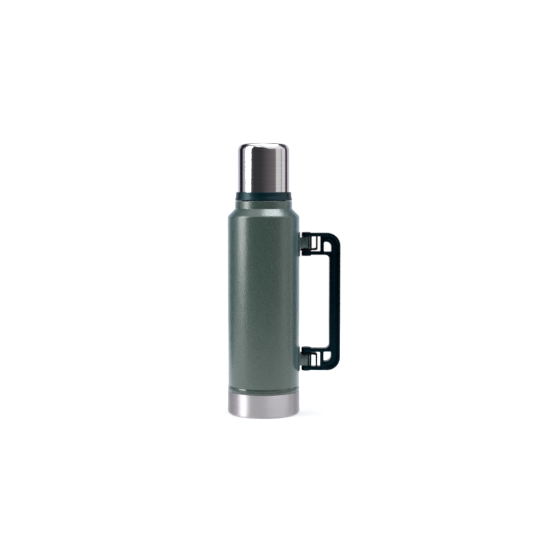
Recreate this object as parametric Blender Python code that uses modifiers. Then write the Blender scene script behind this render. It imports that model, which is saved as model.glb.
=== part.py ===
"""Vacuum flask with a screw-on cup, a pour-through stopper and a folding side handle.

Metres, +Z up. The origin is on the flask's axis, at the underside of its base.
The handle opens towards +X and folds about an upright axis beside the body.
Turned pieces are given as (radius, height) outlines, and the handle as (x, height) outlines
whose heights count from the handle's middle.
"""

import math

import bmesh
import bpy
from mathutils import Matrix

# Facets and gaps
GAP = 0.0003  # clearance that neighbouring pieces keep
MERGE = 0.00001  # distance under which points are one
STEPS = 32  # facets round a large turned piece
PIN_STEPS = 20  # facets round a hinge pin and its holes
ARC_STEP = 22.5  # degrees between the points of an arc

# Body
BODY_R = 0.0489
SHELL_WALL = 0.0006
NECK_R = 0.0388
LEDGE_Z = 0.2917  # top of the painted neck, on which the cup's collar sits
NECK_FOOT_Z = 0.2813
SHOULDER_R = 0.0050  # rounding where the 45 degree shoulder meets the body
BEAD_R = 0.0495
BEAD_Z = 0.0374
SHELL_LIP_Z = 0.0324
BASE_R = 0.0495
BASE_TOP_Z = 0.0316
BASE_CORNER_R = 0.0040

# Mouth
MOUTH_TOP_Z = 0.3180
NECK_RING_R = 0.0300
NECK_RING_BORE_R = 0.0288
BORE_R = 0.0250
LINER_WALL = 0.0005
LINER_R = 0.0430
LINER_FLOOR_Z = 0.0140
THREAD_PITCH = 0.0040
THREAD_HALF_ROOT = 0.0009
THREAD_HALF_CREST = 0.00045
THREAD_BURY = 0.0004  # how far a thread's foot is sunk in its wall

# Stopper
PLUG_R = 0.0234
PLUG_FOOT_Z = 0.2869
FLANGE_R = 0.0286
FLANGE_TOP_Z = 0.3215
CAP_TOP_Z = 0.3406
GRIP_FLUTES = 12
POUR_FLUTES = 2

# Cup
CUP_R = 0.0350
CUP_TOP_Z = 0.3700
CUP_CORNER_R = 0.0090
CUP_WALL = 0.0005
COLLAR_TOP_Z = 0.3040
COLLAR_FOOT_Z = 0.2922
COLLAR_R = 0.0389  # at its foot
COLLAR_BORE_R = 0.0320

# Handle
HANDLE_MID_Z = 0.1540
PIN_X = 0.0585
PIN_R = 0.0030
PIN_HOLE_R = PIN_R + GAP
ARM_TOP = 0.0946  # heights of an arm's edges from the handle's middle
ARM_FOOT = 0.0643
OUTER_BAR = 0.0894  # underside of the outer bar
INNER_BAR = 0.0693  # top of the inner bar
ARM_HALF_Y = 0.0070
GRIP_HALF_Y = 0.0085
HOOD_X = (PIN_X + 0.0049, 0.0658)  # bar that hoods the bracket's barrel
WINDOW_X = 0.0777  # far side of the window that the detent spring stands in
CORNER_WINDOW = ((0.0824, 0.0688), (0.0925, 0.0822))
CORNER_WINDOW_R = (0.0012, 0.0010, 0.0066, 0.0016)
GRIP_IN_X = 0.0900
GRIP_OUT_X = 0.1050
CORNER_R = 0.0180
GAP_CORNER_R = 0.0060
RIM_X = 0.0042  # width of the rim outside the groove, in the grip
RIM_H = 0.0050  # and in the arms
GROOVE_START_X = 0.0840
GROOVE_WIDE = 0.0030
GROOVE_FLOOR_Y = 0.0050
EAR_R = 0.0066
OUTER_EAR = (0.0887, 0.0956)
INNER_EAR = (0.0628, 0.0694)

# Hinges, with heights from the handle's middle
STRAP = (0.0734, 0.0884)
HOOD_FOOT = STRAP[0] + GAP
CAM = (0.06975, 0.07305)
CAM_R = 0.0075
CAM_FLAT = 0.0069  # distance of a flat from the pin's axis
CAM_TAIL_X = 0.0540
CAM_TAIL_HALF = 0.0025
FOLD = 100.0  # degrees to either side
BARREL_R = 0.0046
PLATE_IN_R = BODY_R + GAP
PLATE_OUT_R = PLATE_IN_R + 0.0010
PLATE = (0.0623, 0.0955)
PLATE_HALF_ANGLE = 16.5
PLATE_CORNER_R = 0.0040
SPRING_X = (0.0717, 0.0740)
SPRING_HALF_Y = 0.0040
SPRING_HEAD = 0.0922
SPRING_FOOT = (0.0706, STRAP[0])
SPRING_TOE_X = 0.0648
PIN_INSET = 0.0006  # how far the pin's ends lie inside the ears


# ---------------------------------------------------------------- tools


def clear_scene():
    for item in list(bpy.data.objects):
        bpy.data.objects.remove(item)
    for item in list(bpy.data.collections):
        bpy.data.collections.remove(item)


def new_collection(name):
    made = bpy.data.collections.new(name)
    bpy.context.scene.collection.children.link(made)
    return made


def new_material(name, colour, roughness, metallic):
    made = bpy.data.materials.new(name)
    made.use_nodes = True
    shader = made.node_tree.nodes["Principled BSDF"]
    shader.inputs["Base Color"].default_value = (*colour, 1.0)
    shader.inputs["Roughness"].default_value = roughness
    shader.inputs["Metallic"].default_value = metallic
    return made


def arc(centre_r, centre_z, radius, start, end, pieces=None):
    """Points on an arc from start to end degrees, both ends included."""
    count = pieces or max(1, round(abs(end - start) / ARC_STEP))
    angles = [math.radians(start + (end - start) * i / count) for i in range(count + 1)]
    return [(centre_r + radius * math.cos(a), centre_z + radius * math.sin(a)) for a in angles]


def rounded_rectangle(low, high, radii, pieces=None):
    """Outline of a rectangle from corner low to corner high, anticlockwise from its low corner.

    radii has one rounding for each corner: low-low, high-low, high-high, low-high.
    """
    (x0, y0), (x1, y1) = low, high
    signs = [(x0, y0, 1, 1, 180), (x1, y0, -1, 1, 270), (x1, y1, -1, -1, 0), (x0, y1, 1, -1, 90)]
    points = []
    for (x, y, sx, sy, start), r in zip(signs, radii):
        points += arc(x + sx * r, y + sy * r, r, start, start + 90, pieces) if r else [(x, y)]
    return points


def mirrored(points):
    """The same outline below the handle's middle, still anticlockwise."""
    return [(x, -h) for x, h in reversed(points)]


def link(name, data, material, collection):
    made = bpy.data.objects.new(name, data)
    if material:
        data.materials.append(material)
    collection.objects.link(made)
    return made


def evaluated_mesh(item):
    """A real mesh of what item's curve or modifiers make, closed and facing out."""
    bpy.context.view_layer.update()
    seen = item.evaluated_get(bpy.context.evaluated_depsgraph_get())
    mesh = bpy.data.meshes.new_from_object(seen)
    shape = bmesh.new()
    shape.from_mesh(mesh)
    bmesh.ops.remove_doubles(shape, verts=shape.verts, dist=MERGE)
    bmesh.ops.holes_fill(shape, edges=shape.edges, sides=0)
    bmesh.ops.recalc_face_normals(shape, faces=shape.faces)
    shape.to_mesh(mesh)
    shape.free()
    return mesh


def as_mesh(item):
    """Replaces item by a plain mesh object of the same name, material and place."""
    mesh = evaluated_mesh(item)
    name, material, collection = item.name, item.active_material, item.users_collection[0]
    place = item.matrix_world.copy()
    bpy.data.objects.remove(item)
    if not mesh.materials:
        mesh.materials.append(material)
    made = bpy.data.objects.new(name, mesh)
    made.matrix_world = place
    collection.objects.link(made)
    return made


def combine(item, tools, operation):
    """Joins the tools to item, or cuts them from it, and hides the tools."""
    for tool in tools:
        change = item.modifiers.new(tool.name, "BOOLEAN")
        change.operation = operation
        change.object = tool
        change.solver = "EXACT"
        tool.hide_render = True
        tool.display_type = "WIRE"
    return as_mesh(item)


def smooth(item, angle=35.0):
    item.data.shade_smooth()
    item.data.set_sharp_from_angle(angle=math.radians(angle))
    return item


def add_screw(item, angle=360.0, steps=STEPS, rise=0.0):
    screw = item.modifiers.new("turn", "SCREW")
    screw.angle = math.radians(angle)
    screw.steps = steps
    screw.render_steps = steps
    screw.screw_offset = rise
    screw.use_merge_vertices = rise == 0.0 and angle == 360.0
    screw.merge_threshold = MERGE
    return screw


def profile(name, points, closed, material, collection):
    """Edges in the XZ plane, for a Screw modifier to turn about Z."""
    mesh = bpy.data.meshes.new(name)
    count = len(points)
    edges = [(i, (i + 1) % count) for i in range(count if closed else count - 1)]
    mesh.from_pydata([(r, 0.0, z) for r, z in points], edges, [])
    return link(name, mesh, material, collection)


def turned(name, points, material, collection, steps=STEPS):
    """A turned solid. Its outline runs down the outer side, and is open where it meets the axis."""
    closed = min(points[0][0], points[-1][0]) > 0
    item = profile(name, points, closed, material, collection)
    add_screw(item, steps=steps)
    return smooth(as_mesh(item))


def turned_shell(name, points, wall, material, collection):
    """A pressed sheet-metal shape: its outer line is turned, and the wall lies inside it."""
    item = profile(name, points, False, material, collection)
    add_screw(item)
    item = as_open_mesh(item)
    solid = item.modifiers.new("wall", "SOLIDIFY")
    solid.thickness = wall
    solid.offset = -1.0
    solid.use_even_offset = True
    return smooth(as_mesh(item))


def as_open_mesh(item):
    """Like as_mesh, for a surface that stays open."""
    bpy.context.view_layer.update()
    seen = item.evaluated_get(bpy.context.evaluated_depsgraph_get())
    mesh = bpy.data.meshes.new_from_object(seen)
    name, collection = item.name, item.users_collection[0]
    bpy.data.objects.remove(item)
    made = bpy.data.objects.new(name, mesh)
    collection.objects.link(made)
    return made


def helical_ridge(name, root_r, crest_r, start_z, turns, phase, collection, steps=STEPS):
    """A right-handed thread ridge whose foot is sunk in the wall at root_r."""
    sink = math.copysign(THREAD_BURY, root_r - crest_r)
    points = [
        (root_r + sink, start_z + THREAD_HALF_ROOT),
        (crest_r, start_z + THREAD_HALF_CREST),
        (crest_r, start_z - THREAD_HALF_CREST),
        (root_r + sink, start_z - THREAD_HALF_ROOT),
    ]
    item = profile(name, points, True, None, collection)
    add_screw(item, 360.0 * turns, round(steps * turns), THREAD_PITCH * turns)
    item = as_mesh(item)
    item.data.transform(Matrix.Rotation(math.radians(phase), 4, "Z"))
    return item


def plate(name, outlines, low, high, axis, material, collection):
    """A flat piece: outlines in a plane, the later ones holes, and solid from low to high along axis.

    With axis "Y" an outline's points are (x, z), and with axis "Z" they are (x, y).
    """
    curve = bpy.data.curves.new(name, "CURVE")
    curve.dimensions = "2D"
    curve.fill_mode = "BOTH"
    curve.extrude = (high - low) / 2
    for points in outlines:
        spline = curve.splines.new("POLY")
        spline.points.add(len(points) - 1)
        spline.use_cyclic_u = True
        for knot, (x, y) in zip(spline.points, points):
            knot.co = (x, y, 0.0, 1.0)
    item = link(name, curve, material, collection)
    middle = (low + high) / 2
    if axis == "Y":
        item.rotation_euler.x = math.pi / 2
        item.location.y = middle
    else:
        item.location.z = middle
    bpy.context.view_layer.update()
    item = as_mesh(item)
    item.data.transform(item.matrix_world)
    item.matrix_world = Matrix.Identity(4)
    return item


def block(name, low, high, material, collection):
    shape = bmesh.new()
    bmesh.ops.create_cube(shape, size=1.0)
    mesh = bpy.data.meshes.new(name)
    shape.to_mesh(mesh)
    shape.free()
    size = [b - a for a, b in zip(low, high)]
    middle = [(a + b) / 2 for a, b in zip(low, high)]
    mesh.transform(Matrix.Translation(middle) @ Matrix.Diagonal((*size, 1.0)))
    return link(name, mesh, material, collection)


def rod(name, x, y, low, high, radius, material, collection, steps=PIN_STEPS):
    shape = bmesh.new()
    bmesh.ops.create_cone(
        shape, cap_ends=True, segments=steps, radius1=radius, radius2=radius, depth=high - low
    )
    mesh = bpy.data.meshes.new(name)
    shape.to_mesh(mesh)
    shape.free()
    mesh.transform(Matrix.Translation((x, y, (low + high) / 2)))
    return link(name, mesh, material, collection)


def heights(pair, side):
    """Heights from the handle's middle, as rising world heights, for side 1 up or -1 down."""
    return sorted(HANDLE_MID_Z + side * h for h in pair)


# ---------------------------------------------------------------- body


def make_outer_shell(paint, pieces):
    """Painted shell: neck ledge, 45 degree shoulder, body, rolled bead, tail in the base cup."""
    edge = 0.0010
    shoulder_z = NECK_FOOT_Z - (BODY_R - NECK_R)
    fillet_z = shoulder_z - SHOULDER_R * math.tan(math.radians(22.5))
    tail_r = BODY_R - 0.0004
    points = [(NECK_RING_R + 0.0004, LEDGE_Z), (NECK_R - edge, LEDGE_Z)]
    points += [(NECK_R, LEDGE_Z - edge), (NECK_R, NECK_FOOT_Z)]
    points += arc(BODY_R - SHOULDER_R, fillet_z, SHOULDER_R, 45, 0)
    points += [(BODY_R, BEAD_Z + 0.0036), (BEAD_R, BEAD_Z + 0.0008), (BEAD_R, BEAD_Z - 0.0008)]
    points += [(BEAD_R - 0.0003, SHELL_LIP_Z), (tail_r, SHELL_LIP_Z - 0.0005), (tail_r, 0.0060)]
    return turned_shell("outer_shell", points, SHELL_WALL, paint, pieces)


def make_base_cup(steel, pieces):
    """Bare steel cup over the body's foot, flat underneath with one pressed ring."""
    ring_out, ring_in, ring_deep = 0.0340, 0.0310, 0.0006
    points = [(BASE_R - 0.0002, BASE_TOP_Z), (BASE_R, BASE_TOP_Z - 0.0050)]
    points += arc(BASE_R - BASE_CORNER_R, BASE_CORNER_R, BASE_CORNER_R, 0, -90, 3)
    points += [(ring_out, 0.0), (ring_out - ring_deep, ring_deep)]
    points += [(ring_in + ring_deep, ring_deep), (ring_in, 0.0), (0.0, 0.0)]
    return turned_shell("base_cup", points, SHELL_WALL, steel, pieces)


def liner_outline():
    points = [(BORE_R + LINER_WALL, MOUTH_TOP_Z - 0.0018), (BORE_R + LINER_WALL, 0.2866)]
    points += [(0.0222, 0.2824), (0.0222, 0.2790), (0.0242, 0.2764), (0.0370, 0.2674)]
    points += [(0.0415, 0.2630), (LINER_R, 0.2570)]
    corner = 0.0120
    points += arc(LINER_R - corner, LINER_FLOOR_Z + corner, corner, 0, -90, 3)
    points += [(0.0, LINER_FLOOR_Z + 0.0012)]
    return points


def make_liner(steel, pieces, tools):
    """Inner bottle: threaded neck, a cone seat for the stopper's seal, shoulder and rounded floor."""
    item = turned_shell("inner_liner", liner_outline(), LINER_WALL, steel, pieces)
    ridge = helical_ridge("liner_thread", BORE_R, 0.0239, 0.2950, 1.5, 180.0, tools)
    return smooth(combine(item, [ridge], "UNION"))


def make_neck_ring(steel, pieces, tools):
    """Neck finish: carries the cup's thread outside and closes the double wall at the rim."""
    points = [(BORE_R, MOUTH_TOP_Z), (NECK_RING_R - 0.0011, MOUTH_TOP_Z)]
    points += [(NECK_RING_R, MOUTH_TOP_Z - 0.0011), (NECK_RING_R, 0.2892)]
    points += [(NECK_RING_BORE_R, 0.2892), (NECK_RING_BORE_R, 0.3165), (BORE_R, 0.3165)]
    item = turned("neck_thread_ring", points, steel, pieces)
    ridge = helical_ridge("neck_thread", NECK_RING_R, 0.0310, 0.2950, 1.5, 0.0, tools)
    return smooth(combine(item, [ridge], "UNION"))


def make_vacuum_closure(steel, solder, foil, pieces):
    """The pan that closes the double wall, its sealed port, the getter, and the foil round the liner."""
    rim_r = BODY_R - 0.0004 - SHELL_WALL - GAP
    points = [(rim_r, 0.0120)] + arc(rim_r - 0.0020, 0.0080, 0.0020, 0, -90, 2)
    points += [(0.0120, 0.0062), (0.0100, 0.0082), (0.0, 0.0082)]
    turned_shell("closing_pan", points, 0.0010, steel, pieces)
    port = [(0.0, 0.0079), (0.0060, 0.0079), (0.0060, 0.0069), (0.0, 0.0067)]
    turned("evacuation_seal", port, solder, pieces, PIN_STEPS)
    getter = [(0.0, 0.0116), (0.0050, 0.0116), (0.0050, 0.0095), (0.0, 0.0095)]
    turned("getter_pellet", getter, solder, pieces, PIN_STEPS)
    inner = LINER_R + GAP
    outer = inner + 0.0002
    wrap = [(outer, 0.2540), (outer, 0.0280), (inner, 0.0280), (inner, 0.2540)]
    turned("radiation_foil", wrap, foil, pieces)


# ---------------------------------------------------------------- stopper


def make_stopper_body(plastic, pieces, tools):
    """Threaded plug with two pour flutes, a flange over the rim and a well for the core."""
    well_r, spigot_r, floor_z = 0.0205, 0.0083, 0.2895
    skirt_r, skirt_z = 0.0245, 0.3100
    seat_z, groove_z = 0.3189, 0.3199
    points = [(well_r, FLANGE_TOP_Z), (FLANGE_R, FLANGE_TOP_Z), (FLANGE_R, seat_z)]
    points += [(0.0281, seat_z), (0.0281, groove_z), (0.0253, groove_z), (0.0253, seat_z)]
    points += [(skirt_r, seat_z - 0.0005), (skirt_r, skirt_z), (PLUG_R, skirt_z - 0.0010)]
    points += [(PLUG_R, PLUG_FOOT_Z), (spigot_r, PLUG_FOOT_Z), (spigot_r, floor_z), (well_r, floor_z)]
    item = turned("stopper_body", points, plastic, pieces)
    ridge = helical_ridge("stopper_thread", PLUG_R, 0.0246, 0.2930, 2.5, 180.0, tools)
    item = combine(item, [ridge], "UNION")
    flutes = []
    for i in range(POUR_FLUTES):
        cutter = block(
            f"pour_flute_{i}", (0.0224, -0.0060, 0.2850), (0.0270, 0.0060, 0.3184), None, tools
        )
        cutter.data.transform(Matrix.Rotation(2 * math.pi * i / POUR_FLUTES + 0.8, 4, "Z"))
        flutes.append(cutter)
    return smooth(combine(item, flutes, "DIFFERENCE"))


def make_stopper_cap(plastic, pieces, tools):
    """Hollow grip cap over the core, with shallow finger flutes round it."""
    foot_z = FLANGE_TOP_Z + GAP
    points = [(0.0, CAP_TOP_Z), (0.0240, CAP_TOP_Z), (0.0272, CAP_TOP_Z - 0.0012)]
    points += [(0.0280, CAP_TOP_Z - 0.0040), (FLANGE_R, foot_z), (0.0262, foot_z)]
    points += [(0.0252, CAP_TOP_Z - 0.0044), (0.0, CAP_TOP_Z - 0.0032)]
    item = turned("stopper_cap", points, plastic, pieces)
    flutes = []
    for i in range(GRIP_FLUTES):
        a = 2 * math.pi * i / GRIP_FLUTES
        x, y = 0.0308 * math.cos(a), 0.0308 * math.sin(a)
        flutes.append(rod(f"grip_flute_{i}", x, y, 0.3245, 0.3450, 0.0032, None, tools, 10))
    return smooth(combine(item, flutes, "DIFFERENCE"))


def make_stopper_insides(plastic, foam, rubber, pieces):
    """The foam core, the disc that holds the lower seal, and the two seals."""
    core = [(0.0, 0.3212), (0.0202, 0.3212), (0.0202, 0.2898), (0.0, 0.2898)]
    turned("stopper_core", core, foam, pieces, PIN_STEPS)
    holder = [(0.0, 0.2894), (0.0080, 0.2894), (0.0080, 0.2866), (0.0183, 0.2866)]
    holder += [(0.0183, 0.2833), (0.0209, 0.2833), (0.0209, 0.2820), (0.0200, 0.2812), (0.0, 0.2812)]
    turned("seal_holder", holder, plastic, pieces)
    seal = [(0.0186, 0.2866), (0.0235, 0.2866), (0.0235, 0.2856)]
    seal += [(0.0221, 0.2840), (0.0214, 0.2836), (0.0186, 0.2836)]
    turned("stopper_seal", seal, rubber, pieces)
    rim = [(0.0256, 0.3196), (0.0278, 0.3196), (0.0278, 0.3183), (0.0256, 0.3183)]
    turned("rim_seal", rim, rubber, pieces)


# ---------------------------------------------------------------- cup


def make_cup(steel, plastic, foam, rubber, pieces, tools):
    """Steel cup worn upside down as the lid: shell, liner, threaded collar, foam disc and seal."""
    flat_r = CUP_R - CUP_CORNER_R
    corner_z = CUP_TOP_Z - 0.0007 - CUP_CORNER_R
    shell = [(0.0, CUP_TOP_Z)] + arc(flat_r, corner_z, CUP_CORNER_R, 90, 0, 4)
    shell += [(CUP_R, COLLAR_TOP_Z - 0.0065)]
    turned_shell("cup_shell", shell, CUP_WALL, steel, pieces)

    liner_r, liner_top, corner = 0.0316, 0.3636, 0.0056
    liner = [(0.0, liner_top)] + arc(liner_r - corner, liner_top - corner, corner, 90, 0, 3)
    liner += [(liner_r, COLLAR_TOP_Z + 0.0014), (liner_r + 0.0005, COLLAR_TOP_Z + 0.0007)]
    liner += [(0.0339, COLLAR_TOP_Z + 0.0006)]
    turned_shell("cup_liner", liner, CUP_WALL, steel, pieces)

    channel_z, groove_z = COLLAR_TOP_Z - 0.0068, COLLAR_FOOT_Z + 0.0021
    collar = [(0.03535, COLLAR_TOP_Z), (0.0373, COLLAR_TOP_Z), (0.0376, COLLAR_TOP_Z - 0.0004)]
    collar += [(0.0380, COLLAR_FOOT_Z + 0.0040), (COLLAR_R, COLLAR_FOOT_Z + 0.0012)]
    collar += [(COLLAR_R, COLLAR_FOOT_Z), (0.0366, COLLAR_FOOT_Z), (0.0366, groove_z)]
    collar += [(0.0342, groove_z), (0.0342, COLLAR_FOOT_Z), (COLLAR_BORE_R, COLLAR_FOOT_Z)]
    collar += [(COLLAR_BORE_R, COLLAR_TOP_Z - 0.0004), (0.03405, COLLAR_TOP_Z - 0.0004)]
    collar += [(0.03405, channel_z), (0.03535, channel_z)]
    item = turned("cup_collar", collar, plastic, pieces)
    ridge = helical_ridge("collar_thread", COLLAR_BORE_R, 0.03135, 0.2960, 1.2, 180.0, tools)
    smooth(combine(item, [ridge], "UNION"))

    disc = [(0.0, 0.3684), (0.0250, 0.3684), (0.0250, 0.3640), (0.0, 0.3640)]
    turned("cup_insulation", disc, foam, pieces, PIN_STEPS)
    seal = [(0.0345, 0.2940), (0.0363, 0.2940), (0.0363, 0.2920), (0.0345, 0.2920)]
    turned("cup_seal", seal, rubber, pieces)


# ---------------------------------------------------------------- handle


def handle_outline():
    """The handle's edge: round the outside from the upper ear to the lower, and back along the gap."""
    outer = [(PIN_X, ARM_TOP)] + arc(GRIP_OUT_X - CORNER_R, ARM_TOP - CORNER_R, CORNER_R, 90, 0, 6)
    inner = arc(GRIP_IN_X - GAP_CORNER_R, ARM_FOOT - GAP_CORNER_R, GAP_CORNER_R, 0, 90, 3)
    inner += [(PIN_X, ARM_FOOT), (PIN_X, INNER_BAR), (WINDOW_X, INNER_BAR), (WINDOW_X, OUTER_BAR)]
    inner += [(HOOD_X[1], OUTER_BAR), (HOOD_X[1], HOOD_FOOT), (HOOD_X[0], HOOD_FOOT)]
    inner += [(HOOD_X[0], OUTER_BAR), (PIN_X, OUTER_BAR)]
    return outer + mirrored(outer) + mirrored(inner) + inner


def corner_window():
    """The opening inside the handle's upper corner."""
    return rounded_rectangle(*CORNER_WINDOW, CORNER_WINDOW_R, 2)


def handle_plan():
    """The handle seen from above: slim arms that widen into the grip, whose outer edges are rounded."""
    edge = 0.0030
    side = [(PIN_X - GAP, ARM_HALF_Y), (0.0740, ARM_HALF_Y), (0.0880, GRIP_HALF_Y)]
    side += arc(GRIP_OUT_X + GAP - edge, GRIP_HALF_Y - edge, edge, 90, 0, 3)
    return side + mirrored(side)


def groove_outline():
    """A closed band inside the handle's outer edge, cut into both faces."""
    out_h = ARM_TOP - RIM_H
    radius = CORNER_R - RIM_X
    centre = (GRIP_OUT_X - CORNER_R, out_h - radius)
    outer = [(GROOVE_START_X, out_h)] + arc(*centre, radius, 90, 0, 5)
    inner = arc(*centre, radius - GROOVE_WIDE, 0, 90, 5) + [(GROOVE_START_X, out_h - GROOVE_WIDE)]
    return outer + mirrored(outer) + mirrored(inner) + inner


def raised(points):
    """Handle heights as world heights."""
    return [(x, HANDLE_MID_Z + h) for x, h in points]


def make_handle(plastic, pieces, tools):
    """Moulded C-shaped frame with windowed arms, ears for the pins, and a grooved grip."""
    window = corner_window()
    outlines = [raised(handle_outline()), raised(window), raised(mirrored(window))]
    reach = GRIP_HALF_Y + GAP
    item = plate("handle_frame", outlines, -reach, reach, "Y", plastic, pieces)
    low, high = heights((-ARM_TOP, ARM_TOP), 1)
    plan = plate("handle_plan", [handle_plan()], low - GAP, high + GAP, "Z", None, tools)
    item = combine(item, [plan], "INTERSECT")
    joined, holes = [], []
    for side, word in ((1, "upper"), (-1, "lower")):
        for ear, pair in (("outer", OUTER_EAR), ("inner", INNER_EAR)):
            low, high = heights(pair, side)
            joined.append(rod(f"{word}_{ear}_ear", PIN_X, 0.0, low, high, EAR_R, None, tools, 24))
        low, high = heights((ARM_FOOT - 0.0040, ARM_TOP + 0.0040), side)
        holes.append(rod(f"{word}_pin_hole", PIN_X, 0.0, low, high, PIN_HOLE_R, None, tools))
        low, high = heights((OUTER_BAR - GAP, SPRING_HEAD + GAP), side)
        slot_low = (SPRING_X[0] - GAP, -SPRING_HALF_Y - GAP, low)
        slot_high = (SPRING_X[1] + GAP, SPRING_HALF_Y + GAP, high)
        holes.append(block(f"{word}_spring_slot", slot_low, slot_high, None, tools))
    item = combine(item, joined, "UNION")
    band = raised(groove_outline())
    for side, word in ((1, "back"), (-1, "front")):
        low, high = sorted((side * GROOVE_FLOOR_Y, side * 2 * GRIP_HALF_Y))
        holes.append(plate(f"{word}_groove", [band], low, high, "Y", None, tools))
    return smooth(combine(item, holes, "DIFFERENCE"), 30.0)


def make_bracket(word, side, paint, pieces, tools):
    """Strap folded round the pin, its two legs standing on a curved plate welded to the body.

    The legs draw together by as much as the handle folds beyond a right angle.
    """
    strap, leg_x = [], PLATE_IN_R + 0.0004
    taper = math.radians(FOLD - 90)
    for radius, sign in ((BARREL_R, 1), (PIN_HOLE_R, -1)):
        foot_y = (radius - (PIN_X - leg_x) * math.sin(taper)) / math.cos(taper)
        strap += [(leg_x, -sign * foot_y)] + arc(PIN_X, 0.0, radius, -sign * FOLD, sign * FOLD, 12)
        strap += [(leg_x, sign * foot_y)]
    item = plate(f"{word}_bracket", [strap], *heights(STRAP, side), "Z", paint, pieces)
    low, high = heights(PLATE, side)
    rect = [(PLATE_OUT_R, high), (PLATE_OUT_R, low), (PLATE_IN_R, low), (PLATE_IN_R, high)]
    flange = profile(f"{word}_flange", rect, True, None, tools)
    add_screw(flange, 2 * PLATE_HALF_ANGLE, 6)
    flange = as_mesh(flange)
    flange.data.transform(Matrix.Rotation(math.radians(-PLATE_HALF_ANGLE), 4, "Z"))
    half = PLATE_OUT_R * math.sin(math.radians(PLATE_HALF_ANGLE)) + 0.0001
    face = rounded_rectangle((-half, low), (half, high), (PLATE_CORNER_R,) * 4, 3)
    trim = plate(f"{word}_flange_trim", [face], -PIN_X, -0.8 * BODY_R, "Y", None, tools)
    trim.data.transform(Matrix.Rotation(math.radians(90.0), 4, "Z"))
    return smooth(combine(item, [combine(flange, [trim], "INTERSECT")], "UNION"))


def make_cam(word, side, material, pieces, tools):
    """Detent cam held by a tail against the bracket, with a flat for each rest position."""
    low, high = heights(CAM, side)
    over, under = high + CAM_R, low - CAM_R
    tail_low = (PLATE_OUT_R + GAP, -CAM_TAIL_HALF, low)
    tail = block(f"{word}_cam_tail", tail_low, (CAM_TAIL_X, CAM_TAIL_HALF, high), None, tools)
    cam = rod(f"{word}_detent_cam", PIN_X, 0.0, low, high, CAM_R, material, pieces, 32)
    cam = combine(cam, [tail], "UNION")
    cuts = [rod(f"{word}_cam_hole", PIN_X, 0.0, under, over, PIN_HOLE_R, None, tools)]
    for i, angle in enumerate((0.0, FOLD, -FOLD)):
        flat_low, flat_high = (CAM_FLAT, -CAM_R, under), (2 * CAM_R, CAM_R, over)
        flat = block(f"{word}_cam_flat_{i}", flat_low, flat_high, None, tools)
        flat.data.transform(Matrix.Rotation(math.radians(angle), 4, "Z"))
        flat.data.transform(Matrix.Translation((PIN_X, 0.0, 0.0)))
        cuts.append(flat)
    return smooth(combine(cam, cuts, "DIFFERENCE"))


def make_spring(word, side, plastic, pieces, tools):
    """Detent tongue that stands in the window, its toe hollowed to ride round the cam."""
    near, far = SPRING_X
    low, high = SPRING_FOOT
    outline = [(near, SPRING_HEAD), (far, SPRING_HEAD), (far, low + 0.0016), (far - 0.0035, low)]
    outline += [(SPRING_TOE_X, low), (SPRING_TOE_X, high), (HOOD_X[1] + GAP, high), (near, high + 0.0006)]
    outline = [(x, HANDLE_MID_Z + side * h) for x, h in outline]
    spring = plate(f"{word}_detent_spring", [outline], -SPRING_HALF_Y, SPRING_HALF_Y, "Y", plastic, pieces)
    low, high = heights((low - GAP, high + GAP), side)
    round_cam = rod(f"{word}_toe_hollow", PIN_X, 0.0, low, high, CAM_R + GAP, None, tools, 64)
    return combine(spring, [round_cam], "DIFFERENCE")


def make_hinge(word, side, paint, plastic, steel, pieces, tools):
    """One of the two hinges: strap bracket, detent cam, detent spring and pin."""
    make_bracket(word, side, paint, pieces, tools)
    make_cam(word, side, plastic, pieces, tools)
    make_spring(word, side, plastic, pieces, tools)
    low, high = heights((INNER_EAR[0] + PIN_INSET, OUTER_EAR[1] - PIN_INSET), side)
    smooth(rod(f"{word}_hinge_pin", PIN_X, 0.0, low, high, PIN_R, steel, pieces))


# ---------------------------------------------------------------- assembly


def main():
    clear_scene()
    pieces = new_collection("vacuum_flask")
    tools = new_collection("cutters")
    paint = new_material("hammertone_green", (0.085, 0.135, 0.120), 0.38, 0.6)
    brushed = new_material("brushed_steel", (0.62, 0.61, 0.62), 0.28, 1.0)
    steel = new_material("plain_steel", (0.58, 0.58, 0.58), 0.22, 1.0)
    green = new_material("dark_green_plastic", (0.006, 0.030, 0.036), 0.30, 0.0)
    black = new_material("black_plastic", (0.008, 0.010, 0.011), 0.35, 0.0)
    rubber = new_material("grey_silicone", (0.30, 0.31, 0.31), 0.60, 0.0)
    foam = new_material("white_foam", (0.85, 0.85, 0.83), 0.90, 0.0)
    silver = new_material("aluminium_foil", (0.75, 0.75, 0.76), 0.30, 1.0)
    solder = new_material("solder", (0.45, 0.45, 0.47), 0.45, 1.0)

    make_outer_shell(paint, pieces)
    make_base_cup(brushed, pieces)
    make_liner(steel, pieces, tools)
    make_neck_ring(steel, pieces, tools)
    make_vacuum_closure(steel, solder, silver, pieces)
    make_stopper_body(green, pieces, tools)
    make_stopper_cap(green, pieces, tools)
    make_stopper_insides(green, foam, rubber, pieces)
    make_cup(brushed, green, foam, rubber, pieces, tools)
    make_handle(green, pieces, tools)
    for word, side in (("upper", 1), ("lower", -1)):
        make_hinge(word, side, paint, black, steel, pieces, tools)


main()
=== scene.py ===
"""Looks of a steel vacuum flask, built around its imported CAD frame.

The turned pieces, the hinges and the folding handle get fine meshes in place of the faceted
solids, and every piece gets a material made of nodes. Metres, +Z up, the handle towards +X.
Outlines are lists of (radius, height, rounding) corners, or of (x, y, rounding) corners.
"""

import math

import bmesh
import bpy
from mathutils import Matrix, Vector


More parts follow.
